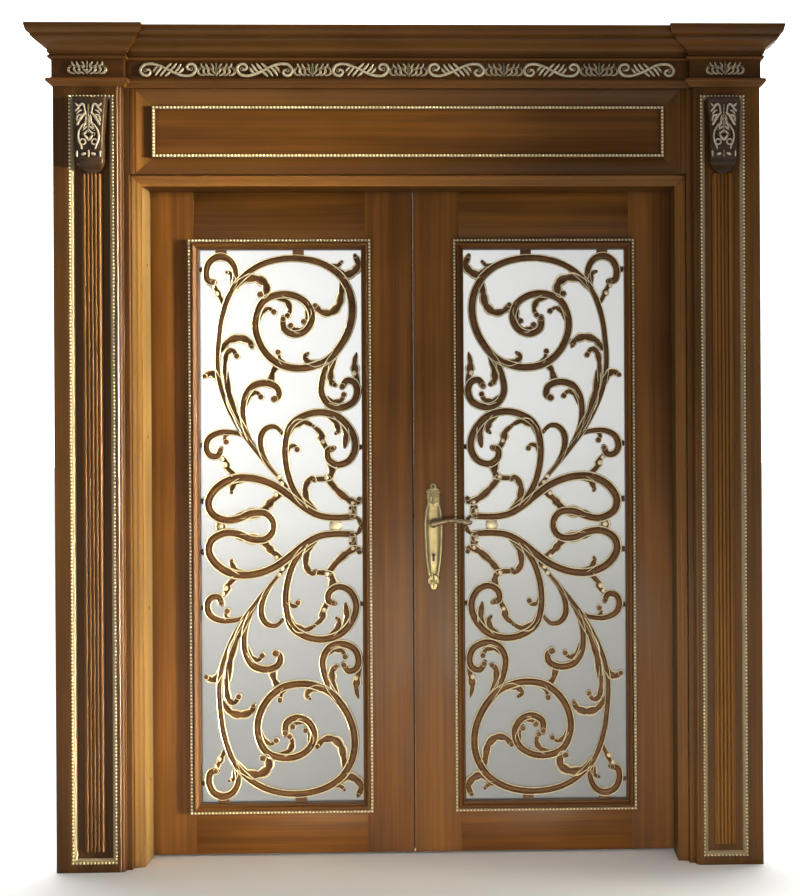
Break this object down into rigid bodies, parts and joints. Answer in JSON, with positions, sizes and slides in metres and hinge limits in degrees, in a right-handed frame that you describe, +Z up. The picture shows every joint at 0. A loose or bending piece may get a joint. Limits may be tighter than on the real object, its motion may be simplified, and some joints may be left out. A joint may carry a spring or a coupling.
{
  "type": "baroque double door with casing",
  "caption": "Glazed double door with carved scroll grilles, hung in a walnut casing with reeded pilasters, overdoor panel, carved frieze and cornice; both leaves swing open.",
  "frame": {"origin": "on the floor, in the middle of the door's own box", "axes": "+X to the right seen from the front, +Y away from the viewer, +Z up"},
  "size_m": [2.234, 0.344, 2.502],
  "materials": {
    "walnut": "satin lacquered walnut with a golden brown stain",
    "carved_walnut": "carved walnut with worn gilding on the raised edges",
    "gilding": "carved wood, gilded and patinated",
    "frosted_glass": "satin frosted glass",
    "brass": "polished brass",
    "steel": "plain brushed steel",
    "rubber_seal": "brown sealing profile"
  },
  "bodies": {
    "frame": {"left_jamb": "walnut", "right_jamb": "walnut", "head_jamb": "walnut", "door_seals": "rubber_seal", "left_architrave": "walnut", "right_architrave": "walnut", "head_architrave": "walnut", "left_pilaster": "walnut", "right_pilaster": "walnut", "left_reeded_panel": "walnut", "right_reeded_panel": "walnut", "left_pilaster_beading": "gilding", "right_pilaster_beading": "gilding", "left_corbel": "carved_walnut", "right_corbel": "carved_walnut", "overdoor_board": "walnut", "overdoor_moulding": "walnut", "overdoor_beading": "gilding", "necking_moulding": "walnut", "frieze_board": "walnut", "left_frieze_block": "walnut", "right_frieze_block": "walnut", "frieze_carving": "gilding", "frieze_palmettes": "gilding", "cornice": "walnut", "cornice_top_board": "walnut", "left_back_casing": "walnut", "right_back_casing": "walnut", "head_back_casing": "walnut", "left_hinge_frame_halves": "brass", "right_hinge_frame_halves": "brass", "hinge_pins": "steel"},
    "left_leaf": {"left_hinge_door_halves": "brass", "left_hinge_stile": "walnut", "left_meeting_stile": "walnut", "left_top_rail": "walnut", "left_bottom_rail": "walnut", "left_glass": "frosted_glass", "left_grille": "carved_walnut", "left_glazing_moulding": "walnut", "left_glazing_beading": "gilding", "left_glass_bead": "walnut", "strike_plate": "brass"},
    "right_leaf": {"right_hinge_door_halves": "brass", "right_hinge_stile": "walnut", "right_meeting_stile": "walnut", "right_top_rail": "walnut", "right_bottom_rail": "walnut", "right_glass": "frosted_glass", "right_grille": "carved_walnut", "right_glazing_moulding": "walnut", "right_glazing_beading": "gilding", "right_glass_bead": "walnut", "lock_case": "steel", "handle_plates": "brass"},
    "lever": {"lever_handle": "brass"},
    "latch": {"latch_bolt": "brass"},
    "deadbolt_slide": {"deadbolt": "brass"},
    "top_bolt": {"top_flush_bolt": "brass"},
    "bottom_bolt": {"bottom_flush_bolt": "brass"}
  },
  "joints": [
    {"name": "left_leaf_hinge", "type": "hinge", "parent": "frame", "child": "left_leaf", "pos_m": [-0.8125, 0.124, 1], "axis": [0, 0, 1], "range_deg": [0, 100]},
    {"name": "right_leaf_hinge", "type": "hinge", "parent": "frame", "child": "right_leaf", "pos_m": [0.8125, 0.124, 1], "axis": [0, 0, -1], "range_deg": [0, 100]},
    {"name": "lever_turn", "type": "hinge", "parent": "right_leaf", "child": "lever", "pos_m": [0.062, 0.0925, 1.017], "axis": [0, 1, 0], "range_deg": [0, 40], "stiffness_Nm_per_rad": 1.5, "springref_deg": -22.92},
    {"name": "latch_slide", "type": "slide", "parent": "right_leaf", "child": "latch", "axis": [1, 0, 0], "range_m": [0, 0.011]},
    {"name": "deadbolt_throw", "type": "slide", "parent": "right_leaf", "child": "deadbolt_slide", "axis": [-1, 0, 0], "range_m": [0, 0.02]},
    {"name": "top_bolt_throw", "type": "slide", "parent": "left_leaf", "child": "top_bolt", "axis": [0, 0, 1], "range_m": [0, 0.018]},
    {"name": "bottom_bolt_throw", "type": "slide", "parent": "left_leaf", "child": "bottom_bolt", "axis": [0, 0, -1], "range_m": [0, 0.018]}
  ],
  "couplings": [
    {"joint": "latch_slide", "follows": "lever_turn", "m_per_rad": 0.0157}
  ]
}
